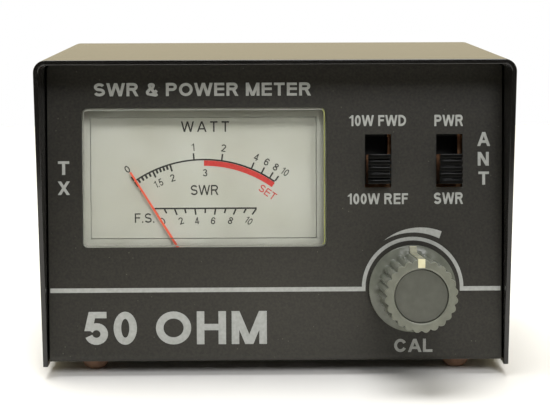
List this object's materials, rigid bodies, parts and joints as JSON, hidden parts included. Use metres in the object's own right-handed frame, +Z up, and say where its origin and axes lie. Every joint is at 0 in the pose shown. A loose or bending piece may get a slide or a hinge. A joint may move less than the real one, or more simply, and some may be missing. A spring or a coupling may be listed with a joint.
{
  "type": "swr meter",
  "caption": "Bench power and standing-wave meter: hooded metal case, leaning front panel with a moving-needle dial, slide switches, calibration knob and coaxial sockets behind.",
  "frame": {"origin": "under the middle of the outer box, on the surface the feet stand on", "axes": "+X to the right seen from the front, -Y out of the front, +Z up"},
  "size_m": [0.1188, 0.0952, 0.0784],
  "materials": {
    "cover_paint": "satin black enamel",
    "panel_paint": "fine-textured charcoal enamel",
    "black_screw": "black oxide",
    "brown_rubber": "matte moulded",
    "clear_plastic": "clear moulded",
    "black_plastic": "satin",
    "dial_card": "printed pale grey",
    "brass": "turned",
    "magnet": "ground",
    "zinc_steel": "zinc plated",
    "spring_bronze": "wound copper and bronze strip",
    "needle_red": "painted orange red",
    "switch_copper": "copper-flashed",
    "phenolic": "brown laminate",
    "switch_black": "satin moulded",
    "board_green": "solder-masked laminate",
    "nickel": "nickel plated",
    "knob_grey": "moulded grey, satin",
    "knob_cap_grey": "smooth darker grey",
    "pointer_cream": "cream inlay",
    "white_insulator": "white moulded",
    "silver": "silver plated",
    "trimmer_blue": "moulded"
  },
  "bodies": {
    "case": {"cover": "cover_paint", "chassis": "panel_paint", "cover_screw_front_left": "black_screw", "cover_screw_front_right": "black_screw", "cover_screw_rear_left": "black_screw", "cover_screw_rear_right": "black_screw", "foot_front_left": "brown_rubber", "foot_front_right": "brown_rubber", "foot_rear_left": "brown_rubber", "foot_rear_right": "brown_rubber", "meter_cover": "clear_plastic", "meter_housing": "black_plastic", "fwd_ref_switch_body": "black_plastic", "pwr_swr_switch_body": "black_plastic", "dial_plate": "dial_card", "dial_screw_left": "brass", "dial_screw_right": "brass", "meter_terminal_left": "brass", "meter_terminal_right": "brass", "front_bridge": "brass", "rear_bridge": "brass", "magnet_core": "magnet", "yoke_ring": "zinc_steel", "board_post_lower": "zinc_steel", "board_post_upper": "zinc_steel", "board_screw_lower": "zinc_steel", "board_screw_upper": "zinc_steel", "pot_case": "zinc_steel", "pot_washer": "zinc_steel", "coupler_shield": "zinc_steel", "front_hairspring": "spring_bronze", "rear_hairspring": "spring_bronze", "through_line": "spring_bronze", "fwd_ref_switch_frame": "switch_copper", "pwr_swr_switch_frame": "switch_copper", "fwd_ref_contact_base": "phenolic", "pwr_swr_contact_base": "phenolic", "pot_lugs": "phenolic", "switch_board": "board_green", "coupler_board": "board_green", "pot_nut": "nickel", "tx_socket_shell": "nickel", "tx_socket_nut": "nickel", "antenna_socket_shell": "nickel", "antenna_socket_nut": "nickel", "tx_socket_insulator": "white_insulator", "antenna_socket_insulator": "white_insulator", "tx_socket_contact": "silver", "antenna_socket_contact": "silver", "fwd_trimmer": "trimmer_blue", "ref_trimmer": "trimmer_blue"},
    "needle_movement": {"needle": "needle_red", "moving_coil": "spring_bronze"},
    "fwd_ref_slider": {"fwd_ref_handle": "switch_black"},
    "pwr_swr_slider": {"pwr_swr_handle": "switch_black"},
    "cal_control": {"knob": "knob_grey", "knob_cap": "knob_cap_grey", "knob_pointer": "pointer_cream", "pot_shaft": "brass"}
  },
  "joints": [
    {"name": "needle_swing", "type": "hinge", "parent": "case", "child": "needle_movement", "pos_m": [-0.0175, -0.0267, 0.02088], "axis": [0, 0.9898, -0.1426], "range_deg": [-1.5, 66], "stiffness_Nm_per_rad": 0.0001},
    {"name": "fwd_ref_slide", "type": "slide", "parent": "case", "child": "fwd_ref_slider", "axis": [0, 0.1426, 0.9898], "range_m": [0, 0.0045]},
    {"name": "pwr_swr_slide", "type": "slide", "parent": "case", "child": "pwr_swr_slider", "axis": [0, 0.1426, 0.9898], "range_m": [0, 0.0045]},
    {"name": "cal_turn", "type": "hinge", "parent": "case", "child": "cal_control", "pos_m": [0.0337, -0.02659, 0.02161], "axis": [0, 0.9898, -0.1426], "range_deg": [-150, 150]}
  ]
}
